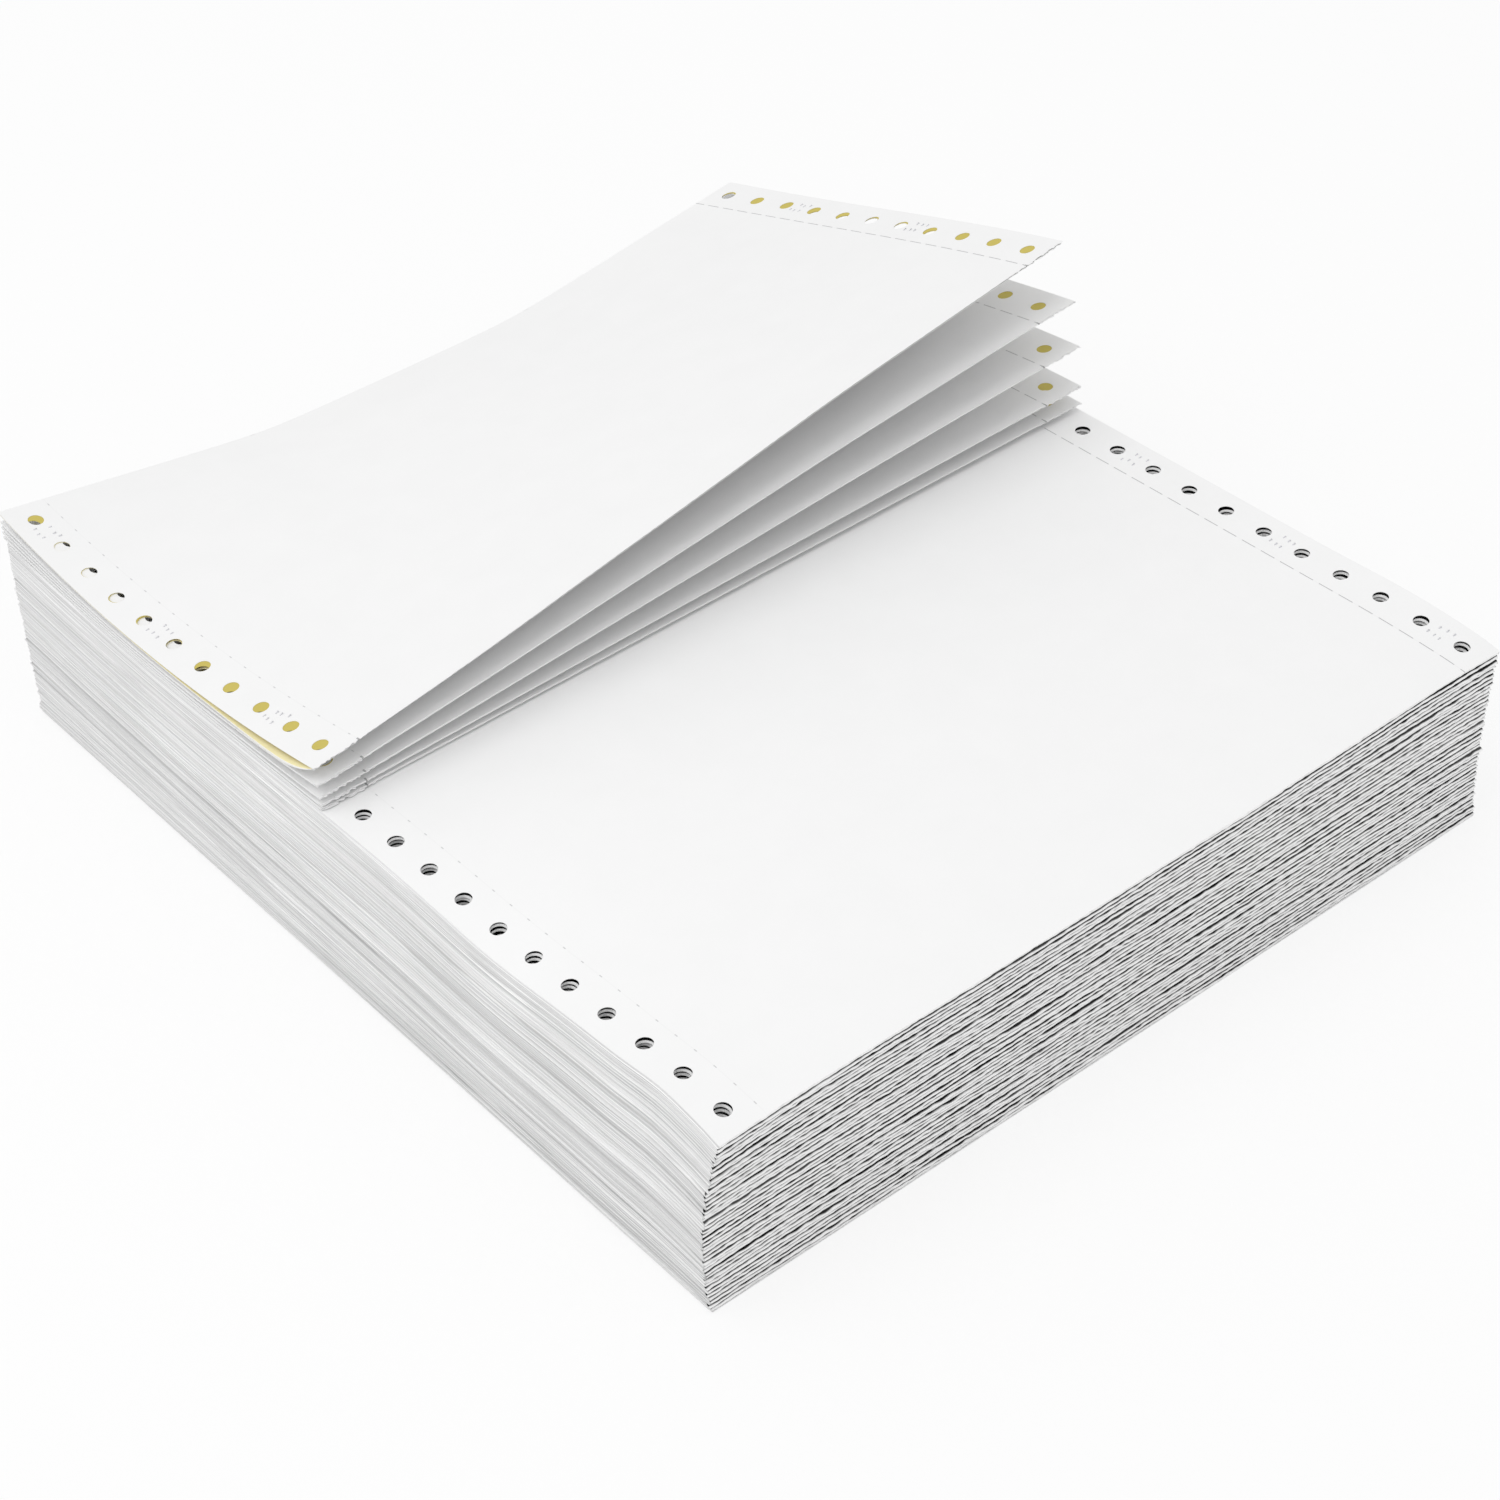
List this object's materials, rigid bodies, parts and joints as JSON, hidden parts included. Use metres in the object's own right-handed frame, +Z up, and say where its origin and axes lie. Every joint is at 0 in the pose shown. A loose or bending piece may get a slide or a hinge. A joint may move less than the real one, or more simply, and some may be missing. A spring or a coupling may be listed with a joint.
{
  "type": "fan-fold computer paper stack",
  "caption": "Stack of carbonless fan-fold forms with punched feed margins, its top forms torn across and fanned up at the rear",
  "frame": {"origin": "middle of the footprint, on the surface that the stack stands on", "axes": "+X across the paper to its right feed margin, +Y along the feed to the rear folds, +Z up"},
  "size_m": [0.2468, 0.2822, 0.0998],
  "materials": {
    "stack_paper": "uncoated white bond paper, folded edges, matt",
    "leaf_paper": "uncoated white bond paper, matt",
    "canary_paper": "canary yellow copy paper, matt"
  },
  "bodies": {
    "root": {"fanfold_stack": "stack_paper", "raised_leaf_5": "leaf_paper", "raised_leaf_4": "leaf_paper", "raised_leaf_3": "leaf_paper", "raised_leaf_2": "leaf_paper", "top_leaf_canary_ply": "canary_paper", "top_leaf_white_ply": "leaf_paper"}
  },
  "joints": []
}
